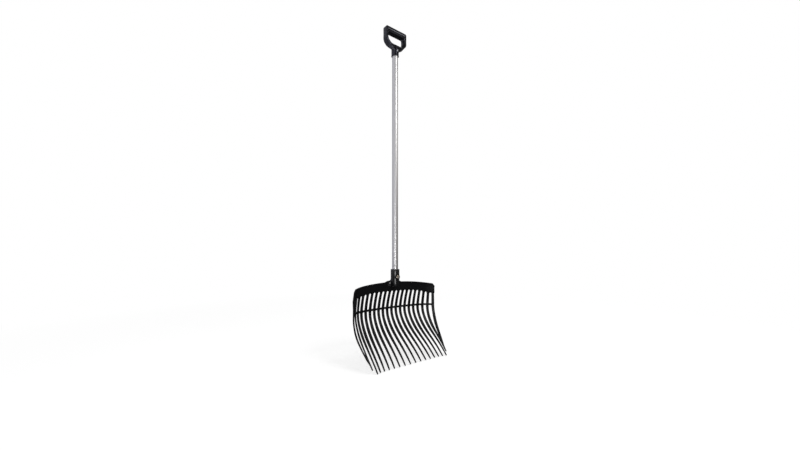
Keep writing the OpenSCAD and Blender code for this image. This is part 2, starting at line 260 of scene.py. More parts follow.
# The tines wear from this height above their tips, and have worn fully this much lower
WORN_H = 100 * MM
WEAR_FADE = 90 * MM
ROUGHNESS_DRIFT = 0.02
PLASTIC_GRAIN = 0.015 * MM
DRAWN_LINES = 0.01 * MM
PLATE_GRAIN = 0.02 * MM


class Nodes:
    """Short calls for building a node material."""

    def __init__(self, name):
        self.material = bpy.data.materials.new(name)
        self.material.use_nodes = True
        self.tree = self.material.node_tree
        self.shader = self.tree.nodes["Principled BSDF"]
        self.place = self.add("ShaderNodeTexCoord").outputs["Object"]

    def add(self, kind, **settings):
        node = self.tree.nodes.new(kind)
        for key, value in settings.items():
            setattr(node, key, value)
        return node

    def link(self, output, target):
        self.tree.links.new(output, target)

    def fix(self, socket, value):
        self.shader.inputs[socket].default_value = value

    def noise(self, scale, detail=3.0, stretch=(1, 1, 1)):
        """Noise with so many cells to the metre, drawn out along an axis by a small stretch."""
        mapping = self.add("ShaderNodeMapping")
        mapping.inputs["Scale"].default_value = stretch
        self.link(self.place, mapping.inputs["Vector"])
        node = self.add("ShaderNodeTexNoise")
        node.inputs["Scale"].default_value = scale
        node.inputs["Detail"].default_value = detail
        self.link(mapping.outputs["Vector"], node.inputs["Vector"])
        return node.outputs["Fac"]

    def ramp(self, value, low, high, to_low=0.0, to_high=1.0):
        """Maps a stretch of a value onto another one, clamped."""
        node = self.add("ShaderNodeMapRange", clamp=True)
        limits = {"From Min": low, "From Max": high, "To Min": to_low, "To Max": to_high}
        for name, number in limits.items():
            node.inputs[name].default_value = number
        self.link(value, node.inputs["Value"])
        return node.outputs["Result"]

    def times(self, a, b):
        node = self.add("ShaderNodeMath", operation="MULTIPLY")
        self.link(a, node.inputs[0])
        self.link(b, node.inputs[1])
        return node.outputs["Value"]

    def height(self):
        node = self.add("ShaderNodeSeparateXYZ")
        self.link(self.place, node.inputs["Vector"])
        return node.outputs["Z"]

    def blend(self, share, a, b):
        """Mixes two colours by a share; each is a socket or three numbers."""
        node = self.add("ShaderNodeMix", data_type="RGBA")
        self.link(share, node.inputs["Factor"])
        for socket, colour in ((node.inputs["A"], a), (node.inputs["B"], b)):
            if isinstance(colour, tuple):
                socket.default_value = (*colour, 1)
            else:
                self.link(colour, socket)
        return node.outputs["Result"]

    def colour(self, output):
        self.link(output, self.shader.inputs["Base Color"])

    def roughness(self, output):
        self.link(output, self.shader.inputs["Roughness"])

    def bump(self, output, depth, strength):
        node = self.add("ShaderNodeBump")
        node.inputs["Strength"].default_value = strength
        node.inputs["Distance"].default_value = depth
        self.link(output, node.inputs["Height"])
        self.link(node.outputs["Normal"], self.shader.inputs["Normal"])


def black_plastic(name, roughness, gloss, worn_below=None, tint=(1, 1, 1)):
    """Moulded black plastic: a fine grain, a slow drift of tone and gloss, scuffs, and wear low down."""
    m = Nodes(name)
    tone = m.blend(m.noise(16, 4), *BLACK_TONES)
    scuffs = m.ramp(m.noise(210, 5, stretch=(1, 1, 0.16)), 0.62, 0.74, 0, 0.5)
    tone = m.blend(scuffs, tone, SCUFF_GREY)
    if worn_below is not None:
        low = m.ramp(m.height(), worn_below, worn_below - WEAR_FADE)
        rubbed = m.ramp(m.noise(320, 4, stretch=(1, 1, 0.35)), 0.45, 0.68, 0, 0.8)
        tone = m.blend(m.times(low, rubbed), tone, WORN_GREY)
    m.colour(tone)
    smoothest, roughest = roughness - ROUGHNESS_DRIFT, roughness + 2 * ROUGHNESS_DRIFT
    m.roughness(m.ramp(m.noise(38, 4), 0.3, 0.7, smoothest, roughest))
    m.bump(m.noise(1500, 3), PLASTIC_GRAIN, 0.2)
    m.fix("Specular IOR Level", gloss)
    m.fix("Specular Tint", (*tint, 1))
    return m.material


def drawn_aluminium():
    """Satin tube: fine lines along its length, a slow drift of tone and faint handling marks."""
    m = Nodes("drawn_aluminium")
    lines = m.noise(900, 3, stretch=(1, 1, 0.004))
    tone = m.blend(m.noise(7, 3, stretch=(1, 1, 0.5)), *ALUMINIUM_TONES)
    tone = m.blend(m.ramp(lines, 0.5, 0.75, 0, 0.2), tone, LINE_GREY)
    marks = m.ramp(m.noise(60, 5, stretch=(1, 1, 0.25)), 0.66, 0.78, 0, 0.12)
    m.colour(m.blend(marks, tone, MARK_GREY))
    m.roughness(m.ramp(lines, 0.3, 0.7, 0.39, 0.44))
    m.bump(lines, DRAWN_LINES, 0.15)
    m.fix("Metallic", 1.0)
    return m.material


def zinc_plate(name, clear, cast):
    """Zinc-plated steel with a cast of colour that gathers in blotches."""
    m = Nodes(name)
    blotch = m.ramp(m.noise(260, 4), 0.35, 0.65)
    m.colour(m.blend(blotch, clear, cast))
    m.roughness(m.ramp(m.noise(900, 3), 0.3, 0.7, 0.3, 0.48))
    m.bump(m.noise(2600, 2), PLATE_GRAIN, 0.5)
    m.fix("Metallic", 1.0)
    return m.material


# The scoop head: one cage of tines, rail and brace, rounded by subdivision

# Corners of the cage sharper than this angle are creased, so that they round less
SHARP_CORNER = math.radians(50)
CORNER_CREASE = 0.32
CAGE_WELD = 0.02 * MM
CAGE_LEVELS = 2
# Rows of the cage: five down the rail, then those of a tine above and below the brace, and its tip
ROOT_ROW = 5
UPPER_ROWS = 5
LOWER_ROWS = 15
BRACE_ROW = ROOT_ROW + UPPER_ROWS
TIP_ROW = BRACE_ROW + 1 + LOWER_ROWS
# Where columns stand between two tines, as shares of the slot; on the brace they stand closer together
SLOT_SHARES = (0.22, 0.78)
BRACE_SPREAD_SHARE = 0.72
# The rail's wall, the fillets above and below it, and the step along it over which its turn is measured
RAIL_T = 7.5 * MM
RAIL_CROWN = 1.1 * MM
SLOT_FILLET = 2 * MM
RAIL_STEP = 8 * MM
# Heights on the rail between which its slope is measured, and the height of a row on its wall
SLOPE_SHARES = (0.62, 0.8)
WALL_SHARE = 0.55
# The lip along the rail's top: its height, the step under it and how far it stands out
LIP_H = 5 * MM
LIP_STEP = 1.6 * MM
LIP_PROUD = 1.5 * MM
# The rail's ends round off: they drop at the top and draw in
END_DROP = 3.5 * MM
END_DRAW = 3.5 * MM
# The last full ring lies this far above a tine's foot; the tip reaches past it and is slimmer
TIP_MARGIN = 5 * MM
TIP_REACH = 5.6 * MM
TIP_SHARE = 0.86
# Steps for measuring a tine's run and for keeping clear of its ends
PROBE = 1 * MM
HAIR = PROBE / 10
# Fillets and draft that the plain solids leave out. Each of the next four is read at even steps from
# the root of a tine to its tip: the growth of its back and of its width, how far it draws in towards
# the middle, as a share of its distance from it, and how far it bows further back
BACK_GROWTH = (1.0, 1.0, 1.1, 1.3, 1.0, 0.9)
WIDTH_GROWTH = (1.45, 1.58, 1.62, 1.96, 1.5, 0.98)
GATHER_SHARES = (0.008, 0.008, 0.013, 0.015, 0.011, 0.02)
BOW = (0, 0, 1.5 * MM, 3.0 * MM, -1.0 * MM, -0.5 * MM)
# Depth of the outermost tines, from the end of the rail inwards, fading in and out along the tine
OUTER_DEPTH_SHARES = (0.44, 0.48, 0.66)
DEPTH_FADE_SHARE = 0.2
# Growth of the brace along X, Y and Z
BRACE_GROWTH = (1.0, 1.2, 1.4)
# The outermost tine bulges outwards below the brace, closes in on its neighbour at its foot, where
# the two meet once they are this near, and is fuller on its outer side
OUTER_BULGE = 4.6 * MM
OUTER_CLOSE = 2.8 * MM
OUTER_MEET = 1.2 * MM
OUTER_GROWTH = 0.4 * MM

Ring = namedtuple("Ring", "middle half_w half_t forward run")


class Tine:
    """The rings of one tine, measured on its solid."""

    def __init__(self, name):
        self.edges = solid_edges(name)
        low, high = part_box(name)
        self.top, self.foot = high.z, low.z

    def centre(self, z):
        low, high = cut(self.edges, Z, z)
        return Vector((low + high) / 2)

    def ring(self, z):
        """Middle, half width, half depth, forward direction and run of the tine at a height."""
        z = min(z, self.top - HAIR)
        low, high = cut(self.edges, Z, z)
        above = min(z + PROBE, self.top - HAIR)
        run = self.centre(z - PROBE) - self.centre(above)
        lean = math.atan2(-run.y, -run.z)
        forward = Vector((0, -math.cos(lean), math.sin(lean)))
        half_w = (high[X] - low[X]) / 2
        half_t = (high[Y] - low[Y]) / 2 * math.cos(lean)
        return Ring(Vector((low + high) / 2), half_w, half_t, forward, run.normalized())


def tine_rings(tine, foot):
    """Rings of a tine from its root to its tip, or to where its solid ends."""
    brace_low, brace_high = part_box("cross_brace")
    brace_z = (brace_low.z + brace_high.z) / 2
    half_h = (brace_high.z - brace_low.z) / 2 * BRACE_GROWTH[Z]
    levels = [mix(tine.top, brace_z + half_h, k / UPPER_ROWS) for k in range(UPPER_ROWS + 1)]
    last = foot + TIP_MARGIN
    levels += [mix(brace_z - half_h, last, k / (LOWER_ROWS - 1)) for k in range(LOWER_ROWS)]
    rings = [tine.ring(z) for z in levels if z >= tine.foot + TIP_MARGIN - HAIR]
    if len(rings) == len(levels):
        end = rings[-1]
        rings.append(end._replace(
            middle=end.middle + end.run * TIP_REACH,
            half_w=end.half_w * TIP_SHARE,
            half_t=end.half_t * TIP_SHARE,
        ))
    return rings


def along(values, share):
    """A value on a smooth curve through evenly spaced ones."""
    last = len(values) - 1
    k = min(int(share * last), last - 1)
    t = share * last - k
    before, a, b, after = (values[min(max(j, 0), last)] for j in range(k - 1, k + 3))
    rise_a, rise_b = (b - before) / 2, (after - a) / 2
    from_a = (a * (1 + 2 * t) + rise_a * t) * (1 - t) ** 2
    from_b = (b * (3 - 2 * t) - rise_b * (1 - t)) * t ** 2
    return from_a + from_b


def ring_corners(ring, side, share, turn, place):
    """Front and back corner of the cage beside a tine, at a share of its length; turned square to
    the rail, with its place counted from the end of the rail."""
    half_t = ring.half_t
    if place < len(OUTER_DEPTH_SHARES):
        thinned = ease(share / DEPTH_FADE_SHARE) * ease((1 - share) / DEPTH_FADE_SHARE)
        half_t *= mix(1.0, OUTER_DEPTH_SHARES[place], thinned)
    half_w = ring.half_w * along(WIDTH_GROWTH, share)
    drawn_in = along(GATHER_SHARES, share) if place > 0 else 0.0
    centre = ring.middle + Vector((-drawn_in * ring.middle.x, along(BOW, share), 0))
    corners = []
    for depth in (half_t, -half_t * along(BACK_GROWTH, share)):
        corner = Vector((side * half_w, 0, 0)) + ring.forward * depth
        corners.append(centre + Matrix.Rotation(turn, 3, "Z") @ corner)
    return tuple(corners)


class Rail:
    """The bowed wall of the rail, measured on its solid and on the roots of the tines."""

    def __init__(self, roots):
        self.edges = solid_edges("head_rail")
        low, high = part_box("head_rail")
        self.half_w = high.x
        z_a, z_b = (mix(low.z, high.z, share) for share in SLOPE_SHARES)
        y_a, y_b = (cut(self.edges, Z, z)[1][Y] for z in (z_a, z_b))
        self.slope = (y_b - y_a) / (z_b - z_a)
        self.xs = np.array([root.middle.x for root in roots])
        self.base = np.array([root.middle.y - self.slope * root.middle.z for root in roots])

    def y(self, x, z):
        """Middle of the wall at a place and a height; past the outermost tines it runs straight on."""
        base = float(np.interp(x, self.xs, self.base))
        for end, inner in ((0, 1), (-1, -2)):
            x_end, base_end = self.xs[end], self.base[end]
            if abs(x) > abs(x_end) and x * x_end > 0:
                rise = base_end - self.base[inner]
                base = base_end + (x - x_end) * rise / (x_end - self.xs[inner])
        return base + self.slope * z

    def turn(self, x):
        """How far the bow has turned the rail at a place along it."""
        rise = self.y(x + RAIL_STEP, 0) - self.y(x - RAIL_STEP, 0)
        return math.atan2(rise, 2 * RAIL_STEP)

    def edges_at(self, x):
        """Heights of the rail's lower and upper edge."""
        reach = self.half_w - PROBE / 2
        low, high = cut(self.edges, X, max(-reach, min(reach, x)))
        return low[Z], high[Z]


class Cage:
    """The head's cage: columns of front and back points by row, and the filled cells between columns."""

    def __init__(self):
        tines = [Tine(name) for name in TINES]
        foot_of = {short: tines[long].foot for short, long in OUTER_PAIRS}
        self.rings = [tine_rings(tine, foot_of.get(i, tine.foot)) for i, tine in enumerate(tines)]
        self.rail = Rail([rings[0] for rings in self.rings])
        self.brace = solid_edges("cross_brace")
        self.columns = self.column_places()
        self.points = [self.column_points(*column) for column in self.columns]
        self.filled = [self.filled_rows(c) for c in range(len(self.columns) - 1)]
        for short, long in OUTER_PAIRS:
            self.bulge_outer_tine(short, long)
            self.knit_outer_tine(short, long)

    def column_places(self):
        """Kind, tine and place of every column: both sides of each tine, and shares of the slot after it."""
        columns = []
        for i in range(len(TINES)):
            columns += [("tine", i, -1), ("tine", i, 1)]
            if i + 1 < len(TINES):
                columns += [("slot", i, share) for share in SLOT_SHARES]
        return columns

    def place(self, i):
        """A tine's place, counted from the nearer end of the rail."""
        return min(i, len(TINES) - 1 - i)

    def root_x(self, i, side):
        root = self.rings[i][0]
        drawn_in = GATHER_SHARES[0] if self.place(i) > 0 else 0.0
        return root.middle.x * (1 - drawn_in) + side * root.half_w * WIDTH_GROWTH[0]

    def slot_top(self, i):
        """Height of the top of the slot after a tine."""
        x = (self.root_x(i, 1) + self.root_x(i + 1, -1)) / 2
        return self.rail.edges_at(x)[0] - SLOT_FILLET

    def rail_foot(self, kind, i, at):
        """Where a column stands along the rail, and the height where the rail ends there."""
        if kind == "slot":
            return mix(self.root_x(i, 1), self.root_x(i + 1, -1), at), self.slot_top(i)
        slot = min(max(i if at > 0 else i - 1, 0), len(TINES) - 2)
        return self.root_x(i, at), mix(self.rings[i][0].middle.z, self.slot_top(slot), 0.5)

    def rail_points(self, kind, i, at):
        """Points of a column down the rail: its top, both edges of the step, its wall and its foot."""
        x, foot = self.rail_foot(kind, i, at)
        is_end = kind == "tine" and self.place(i) == 0 and at * x > 0
        top = self.rail.edges_at(x)[1] + RAIL_CROWN - (END_DROP if is_end else 0)
        lip = top - LIP_H
        wall = lip - LIP_STEP
        levels = [top, lip, wall, mix(wall, foot, WALL_SHARE), foot]
        pairs = []
        for z, proud in zip(levels, (LIP_PROUD, LIP_PROUD, 0, 0, 0)):
            draw = END_DRAW * (z - foot) / (top - foot) if is_end else 0
            x_z = x - math.copysign(draw, x)
            y = self.rail.y(x_z, z)
            pairs.append((Vector((x_z, y - RAIL_T / 2 - proud, z)), Vector((x_z, y + RAIL_T / 2, z))))
        return pairs

    def brace_points(self, i, share):
        """Upper and lower points of a column on the brace, in the slot after a tine."""
        left, right = (self.rings[k][UPPER_ROWS].middle.x for k in (i, i + 1))
        x = mix(left, right, mix(0.5, share, BRACE_SPREAD_SHARE))
        low, high = cut(self.brace, X, x)
        mid = (low + high) / 2
        half = (high - low) / 2 * np.array(BRACE_GROWTH)
        return [
            (Vector((x, mid[Y] - half[Y], z)), Vector((x, mid[Y] + half[Y], z)))
            for z in (mid[Z] + half[Z], mid[Z] - half[Z])
        ]

    def column_points(self, kind, i, at):
        """Front and back point of a column in each of its rows."""
        column = dict(enumerate(self.rail_points(kind, i, at)))
        if kind == "slot":
            column.update(zip((BRACE_ROW, BRACE_ROW + 1), self.brace_points(i, at)))
            return column
        turn = self.rail.turn(self.rings[i][0].middle.x)
        for r, ring in enumerate(self.rings[i]):
            share = r / (TIP_ROW - ROOT_ROW)
            column[ROOT_ROW + r] = ring_corners(ring, at, share, turn, self.place(i))
        return column

    def filled_rows(self, c):
        """Rows whose cell between a column and the next one belongs to the rail, the brace or a tine."""
        kind, i, _ = self.columns[c]
        rows = set(range(ROOT_ROW - 1)) | {BRACE_ROW}
        if kind == "tine" and self.columns[c + 1][:2] == (kind, i):
            rows |= set(range(ROOT_ROW - 1, ROOT_ROW + len(self.rings[i]) - 1))
        return rows

    def bulge_outer_tine(self, short, long):
        """Rounds an outermost tine outwards below the brace and makes its outer side fuller."""
        out = -1 if long > short else 1
        inner, outer = (self.columns.index(("tine", short, side)) for side in (-out, out))
        last = max(self.points[inner])
        for c in (inner, outer):
            for r, pair in self.points[c].items():
                share = min(max((r - BRACE_ROW - 1) / (last - BRACE_ROW), 0.0), 1.0)
                shift = OUTER_BULGE * math.sin(math.pi * share) - OUTER_CLOSE * ease(share)
                if c == outer:
                    shift += OUTER_GROWTH * (1 - ease(share))
                self.points[c][r] = tuple(p + Vector((out * shift, 0, 0)) for p in pair)

    def knit_outer_tine(self, short, long):
        """Runs the foot of an outermost tine into the side of its neighbour."""
        out = -1 if long > short else 1
        points = self.points
        inner, outer = (self.columns.index(("tine", short, side)) for side in (-out, out))
        near = self.columns.index(("tine", long, out))
        between = range(min(inner, near), max(inner, near) + 1)
        last = max(points[inner])
        meet = next(
            r for r in range(BRACE_ROW + 2, last + 1)
            if abs(points[inner][r][0].x - points[near][r][0].x) < OUTER_MEET
        )
        for r in range(meet, last + 2):
            seam = points[near][r]
            if r <= last:
                seam = tuple((a + b) / 2 for a, b in zip(points[inner][r], seam))
            for c in between:
                points[c][r] = seam
        points[outer][last + 1] = points[near][last + 1]
        self.filled[min(outer, inner)].add(last)
        for c in between[:-1]:
            self.filled[c] |= set(range(meet, last + 1))


def scoop_head(material):
    """The skin of the cage: a front and a back face for each filled cell, and sides where it ends."""
    cage = Cage()
    filled = cage.filled
    coords, index = [], {}

    def corner(c, r, layer):
        key = (c, r, layer)
        if key not in index:
            index[key] = len(coords)
            coords.append(cage.points[c][r][layer])
        return index[key]

    faces = []
    for c, rows in enumerate(filled):
        for r in rows:
            ring = [(c, r), (c + 1, r), (c + 1, r + 1), (c, r + 1)]
            faces.append([corner(*p, 0) for p in ring])
            faces.append([corner(*p, 1) for p in reversed(ring)])
            is_edge = [
                r - 1 not in rows,
                c + 1 >= len(filled) or r not in filled[c + 1],
                r + 1 not in rows,
                c == 0 or r not in filled[c - 1],
            ]
            for k in range(4):
                if is_edge[k]:
                    a, b = ring[k], ring[(k + 1) % 4]
                    faces.append([corner(*a, 0), corner(*a, 1), corner(*b, 1), corner(*b, 0)])
    obj = add_object("scoop_head", coords, faces)
    tidy_mesh(obj, CAGE_WELD)
    crease_corners(obj, SHARP_CORNER, CORNER_CREASE)
    subdivide(obj, CAGE_LEVELS)
    smooth(obj)
    finish_piece(obj, "black_plastic", material, "head_rail", "cross_brace", *TINES)


# The socket: a round sleeve that flares into the front of the rail

SOCKET_DRAFT = 1.6 * MM
SOCKET_ROUND = 1.2 * MM
SOCKET_ROUND_STEPS = 4
SOCKET_CRISP = 32
# Clearance round the tube, and the chamfer of the socket's mouth
BORE_CLEARANCE = 0.12 * MM
BORE_CHAMFER = 0.5 * MM
# The skirt spreads the back of the socket sideways, wholly from this far behind its axis
SKIRT_REACH = 15 * MM
SKIRT_FOOT = 10 * MM
# Height above the rail's top and spread of the skirt, as it fades out up the socket
SKIRT_FADE = [
    (-2.5 * MM, 1.0), (-0.5 * MM, 0.82), (1.5 * MM, 0.45),
    (4 * MM, 0.16), (7.5 * MM, 0.03), (11 * MM, 0.0),
]
SLEEVE_SHARE = 0.6
# The domed foot shrinks towards a point near the socket's back
DOME_H = 6 * MM
DOME_RINGS = 7
DOME_START_SHARE = 0.35
DOME_BACK_SHARE = 0.86
# The boss round the bolt: its flare, its foot as shares of the socket's radius, and its edge as
# steps inwards and down from its rim
BOSS_R = 11 * MM
BOSS_FLARE = 1.8 * MM
BOSS_FLARE_SHARE = 0.3
BOSS_FOOT_SHARES = (0.55, 0.72)
BOSS_EDGE = [(0.0, 0.7 * MM), (0.25 * MM, 0.2 * MM), (0.7 * MM, 0.0)]
# The washer stands out of its well by this much
WASHER_PROUD = 0.3 * MM
WELL_CLEARANCE = 0.4 * MM
WELL_CHAMFER = 0.3 * MM
POCKET_CLEARANCE = 0.4 * MM
POCKET_OVERRUN = 2 * MM


def socket_r():
    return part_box("head_socket")[1].x + SOCKET_DRAFT


def bore_r():
    """Radius of the bores that the tube sits in."""
    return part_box("handle_tube")[1].x + BORE_CLEARANCE


def socket_ring(z, r, spread=0.0, pull=1.0, centre_y=0.0):
    """A round ring whose back spreads sideways, pulled together towards a point on the Y axis."""
    ring = []
    for k in range(RING_POINTS):
        a = 2 * math.pi * k / RING_POINTS
        x, y = r * math.sin(a), -r * math.cos(a)
        skirt = min(max(0.0, y / SKIRT_FOOT), 1.0) ** 3
        x += math.copysign(SKIRT_REACH * spread * skirt, x) if abs(x) > WELD else 0.0
        ring.append(Vector((x * pull, centre_y + (y - centre_y) * pull, z)))
    return ring


def socket_shell():
    """The socket's skin, from its domed foot up to its mouth and down into the bore."""
    low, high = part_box("head_socket")
    bore_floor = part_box("handle_tube")[0].z
    skirt_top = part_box("head_rail")[1].z
    dome_top = low.z + DOME_H
    r, bore = socket_r(), bore_r()
    rings = []
    for k in range(DOME_RINGS):
        a = math.pi / 2 * (1 - (k + DOME_START_SHARE) / DOME_RINGS)
        z = low.z + DOME_H * (1 - math.sin(a))
        rings.append(socket_ring(z, r, 1.0, math.cos(a), r * DOME_BACK_SHARE))
    rings += [socket_ring(z, r, 1.0) for z in (dome_top, mix(dome_top, skirt_top, 0.5))]
    rings += [socket_ring(skirt_top + rise, r, spread) for rise, spread in SKIRT_FADE]
    rings.append(socket_ring(mix(skirt_top, high.z, SLEEVE_SHARE), r))
    for k in range(SOCKET_ROUND_STEPS + 1):
        a = math.pi / 2 * k / SOCKET_ROUND_STEPS
        z = high.z - SOCKET_ROUND * (1 - math.sin(a))
        rings.append(socket_ring(z, r - SOCKET_ROUND * (1 - math.cos(a))))
    rings.append(socket_ring(high.z, bore + BORE_CHAMFER))
    rings.append(socket_ring(high.z - BORE_CHAMFER, bore))
    rings.append(socket_ring(bore_floor, bore))
    return loft("head_socket_shell", rings)


def bolt_boss():
    """The collar round the bolt, with the well that its washer lies in."""
    washer_low, washer_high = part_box("head_washer")
    rim = -washer_low.y - WASHER_PROUD
    well_r = washer_high.x + WELL_CLEARANCE
    root, foot = (socket_r() * share for share in BOSS_FOOT_SHARES)
    rings = [
        round_ring(BOSS_R + BOSS_FLARE, root),
        round_ring(BOSS_R + BOSS_FLARE, foot),
        round_ring(BOSS_R + BOSS_FLARE * BOSS_FLARE_SHARE, mix(foot, rim, 0.5)),
    ]
    rings += [round_ring(BOSS_R - inwards, rim - down) for inwards, down in BOSS_EDGE]
    rings += [
        round_ring(well_r + WELL_CHAMFER, rim),
        round_ring(well_r, rim - WELL_CHAMFER),
        round_ring(well_r, -washer_high.y),
    ]
    return placed(loft("boss", rings), FACE_FRONT, Vector((0, 0, middle_z("head_bolt"))))


def nut_pocket():
    """The six-sided hole in the socket's back that the nut lies in."""
    low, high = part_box("head_nut")
    flats = high.z - low.z + POCKET_CLEARANCE
    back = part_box("head_socket")[1].y + POCKET_OVERRUN
    pocket = loft("pocket", [hex_ring(flats, low.y), hex_ring(flats, back)])
    return placed(pocket, FACE_BACK, Vector((0, 0, middle_z("head_bolt"))))


def head_socket(material):
    obj = socket_shell()
    combine(obj, bolt_boss(), "UNION")
    combine(obj, nut_pocket(), "DIFFERENCE")
    smooth(obj, SOCKET_CRISP)
    finish_piece(obj, "black_plastic", material, "head_socket")


# The bolt with its washer and nut

HEX_CRISP = 28
# Chamfer of the hex corners: where it starts, as a share of the half flats, and how steeply it drops
CHAMFER_SHARE = 0.95
CHAMFER_DROP = 0.58
# The bolt's head: its slightly smaller underside, and the dish in its top as shares of the radius
# and depths
HEAD_FOOT_SHARE = 0.97
HEAD_FOOT_H = 0.25 * MM
HEAD_DISH = [(0.7, 0.12 * MM), (0.1, 0.2 * MM)]
SHANK_R = 3 * MM
SHANK_TIP_R = 0.3 * MM
SHANK_END_SHARE = 0.78
# The thread: radius of its groove, and places of its groove and its crest in a turn
THREAD_PITCH = 1.0 * MM
THREAD_TURNS = 8
THREAD_ROOT_SHARE = 0.86
THREAD_TURN_SHARES = (0.2, 0.7)
WASHER_BORE_R = 3.2 * MM
WASHER_EDGE = 0.3 * MM
WASHER_CRISP = 40
NUT_BORE_R = 3.05 * MM
NUT_CHAMFER = 0.5 * MM


def hex_top(flats, h):
    """The chamfered top edge of a hex head or a nut, and the radius of the flat inside it."""
    top_r = flats / 2 * CHAMFER_SHARE
    return hex_ring(flats, h, top_r, CHAMFER_DROP), top_r


def bolt_shank(end):
    """Rings of the shank from its end, with the grooves of a thread, up to the head."""
    groove, crest = THREAD_TURN_SHARES
    rings = [round_ring(SHANK_TIP_R, end), round_ring(SHANK_R * SHANK_END_SHARE, end)]
    for k in range(THREAD_TURNS):
        rings.append(round_ring(SHANK_R * THREAD_ROOT_SHARE, end + (k + groove) * THREAD_PITCH))
        rings.append(round_ring(SHANK_R, end + (k + crest) * THREAD_PITCH))
    rings.append(round_ring(SHANK_R, end + (THREAD_TURNS + 1) * THREAD_PITCH))
    rings.append(round_ring(SHANK_R, 0))
    return rings


def hex_head(flats, h):
    """Rings of a forged hex head with a chamfered, slightly dished top."""
    edge, top_r = hex_top(flats, h)
    rings = [hex_ring(flats * HEAD_FOOT_SHARE, 0), hex_ring(flats, HEAD_FOOT_H), edge, round_ring(top_r, h)]
    return rings + [round_ring(top_r * share, h - depth) for share, depth in HEAD_DISH]


def head_bolt(material):
    low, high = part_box("head_bolt")
    seat_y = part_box("head_washer")[0].y
    rings = bolt_shank(seat_y - high.y) + hex_head(high.z - low.z, seat_y - low.y)
    obj = placed(loft("head_bolt_piece", rings), FACE_FRONT, Vector((0, seat_y, middle_z("head_bolt"))))
    smooth(obj, HEX_CRISP)
    finish_piece(obj, "zinc_steel", material, "head_bolt")


def head_washer(material):
    low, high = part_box("head_washer")
    obj = sleeve("head_washer_piece", WASHER_BORE_R, high.x, 0, high.y - low.y, WASHER_EDGE)
    placed(obj, FACE_FRONT, Vector((0, high.y, middle_z("head_washer"))))
    smooth(obj, WASHER_CRISP)
    finish_piece(obj, "zinc_steel", material, "head_washer")


def head_nut(material):
    low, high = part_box("head_nut")
    h = high.y - low.y
    upper_edge, top_r = hex_top(high.z - low.z, h)
    lower_edge = [Vector((p.x, p.y, h - p.z)) for p in upper_edge]
    obj = loft("head_nut_piece", [
        round_ring(NUT_BORE_R, NUT_CHAMFER),
        round_ring(NUT_BORE_R + NUT_CHAMFER, 0),
        round_ring(top_r, 0),
        lower_edge,
        upper_edge,
        round_ring(top_r, h),
        round_ring(NUT_BORE_R + NUT_CHAMFER, h),
        round_ring(NUT_BORE_R, h - NUT_CHAMFER),
    ], caps=False)
    placed(obj, FACE_BACK, Vector((0, low.y, middle_z("head_nut"))))
    smooth(obj, HEX_CRISP)
    finish_piece(obj, "zinc_steel", material, "head_nut")


# The tube

TUBE_WALL = 1.5 * MM
TUBE_EDGE = 0.5 * MM
TUBE_POINTS = 96
TUBE_CRISP = 30


def handle_tube(material):
    low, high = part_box("handle_tube")
    obj = sleeve("handle_tube_piece", high.x - TUBE_WALL, high.x, low.z, high.z, TUBE_EDGE, TUBE_POINTS)
    smooth(obj, TUBE_CRISP)
    finish_piece(obj, "aluminium_tube", material, "handle_tube")


# The D-grip: a rounded section swept round the hand gap, with a neck that holds the tube

GRIP_T = 25 * MM
GRIP_CORNER_R = 6.5 * MM
GRIP_CRISP = 34
# How far the grip's outline stands out from its solid: at the front, at the back and at the top
FRONT_DRAFT = -0.2 * MM
BACK_DRAFT = -0.4 * MM
TOP_DRAFT = 1.4 * MM
# Foot of the grip's front and back face: radius and height of the bend, and height where it
# rounds into the neck
FRONT_FOOT = (22 * MM, -19.5 * MM, -61 * MM)
BACK_FOOT = (33 * MM, -20 * MM, -41.5 * MM)
# The hand gap: it narrows on each side from the front to the back
GAP_HALF_W = 43.4 * MM
GAP_TAPER = 2.6 * MM
GAP_TOP = 1.2 * MM
GAP_H = 40 * MM
GAP_CORNER_R = 5 * MM
GAP_BEND_R = 26 * MM
# Points of the outlines: along each straight or bend, and round each small corner
SIDE_STEPS = 8
CORNER_STEPS = 6
# Edges of the section, which are never wider than a share of it
FRONT_EDGE_R = 2.5 * MM
BACK_EDGE_R = 2 * MM
GAP_EDGE_R = 6 * MM
EDGE_SHARE = 0.38
OUTER_EDGE_STEPS = 6
GAP_EDGE_STEPS = 7
# The border lies lower than the panel inside it, and fades out down the legs between two heights
BORDER_W = 10 * MM
BORDER_SHARE = 0.42
BORDER_SINK = 0.8 * MM
BORDER_FADE = (-30 * MM, -4 * MM)
BORDER_SLOPE = 3 * MM
SLOPE_LIMIT_SHARE = 0.4
SLOPE_STEP_SHARES = (0.0, 0.15, 0.5, 0.85, 1.0)
# The neck, which is longer than its solid: its domed top below the hand gap, and its rim, whose edge
# is given as steps inwards and up from its foot
NECK_R = 15.8 * MM
NECK_DROP = 4 * MM
NECK_DOME_DROP = 8 * MM
NECK_DOME_H = 5.8 * MM
NECK_DOME_SHARE = 0.55
NECK_DOME_STEPS = 5
NECK_RIM_R = 16.3 * MM
NECK_RIM_H = 7 * MM
NECK_RIM_SHARES = (0.3, 0.6)
NECK_RIM_EDGE = [(0.0, 1.4 * MM), (0.2 * MM, 0.4 * MM), (0.8 * MM, 0.0)]
NECK_CHAMFER = 0.4 * MM
# The seat of the screw: a low round boss on the neck's front
SEAT_R = 5.75 * MM
SEAT_PROUD = 0.8 * MM
SEAT_FLARE = 1.5 * MM
SEAT_FOOT_SHARE = 0.93
SEAT_RISE_SHARE = 0.3
SEAT_ROUND_H = 0.25 * MM
SEAT_ROUND_W = 0.4 * MM
SEAT_FACE = NECK_R + SEAT_PROUD


def arc(centre, r, start, end, steps):
    """Points along an arc between two angles in degrees, without its last one."""
    turns = [math.radians(mix(start, end, k / steps)) for k in range(steps)]
    return [Vector((centre[0] + r * math.cos(a), centre[1] + r * math.sin(a))) for a in turns]


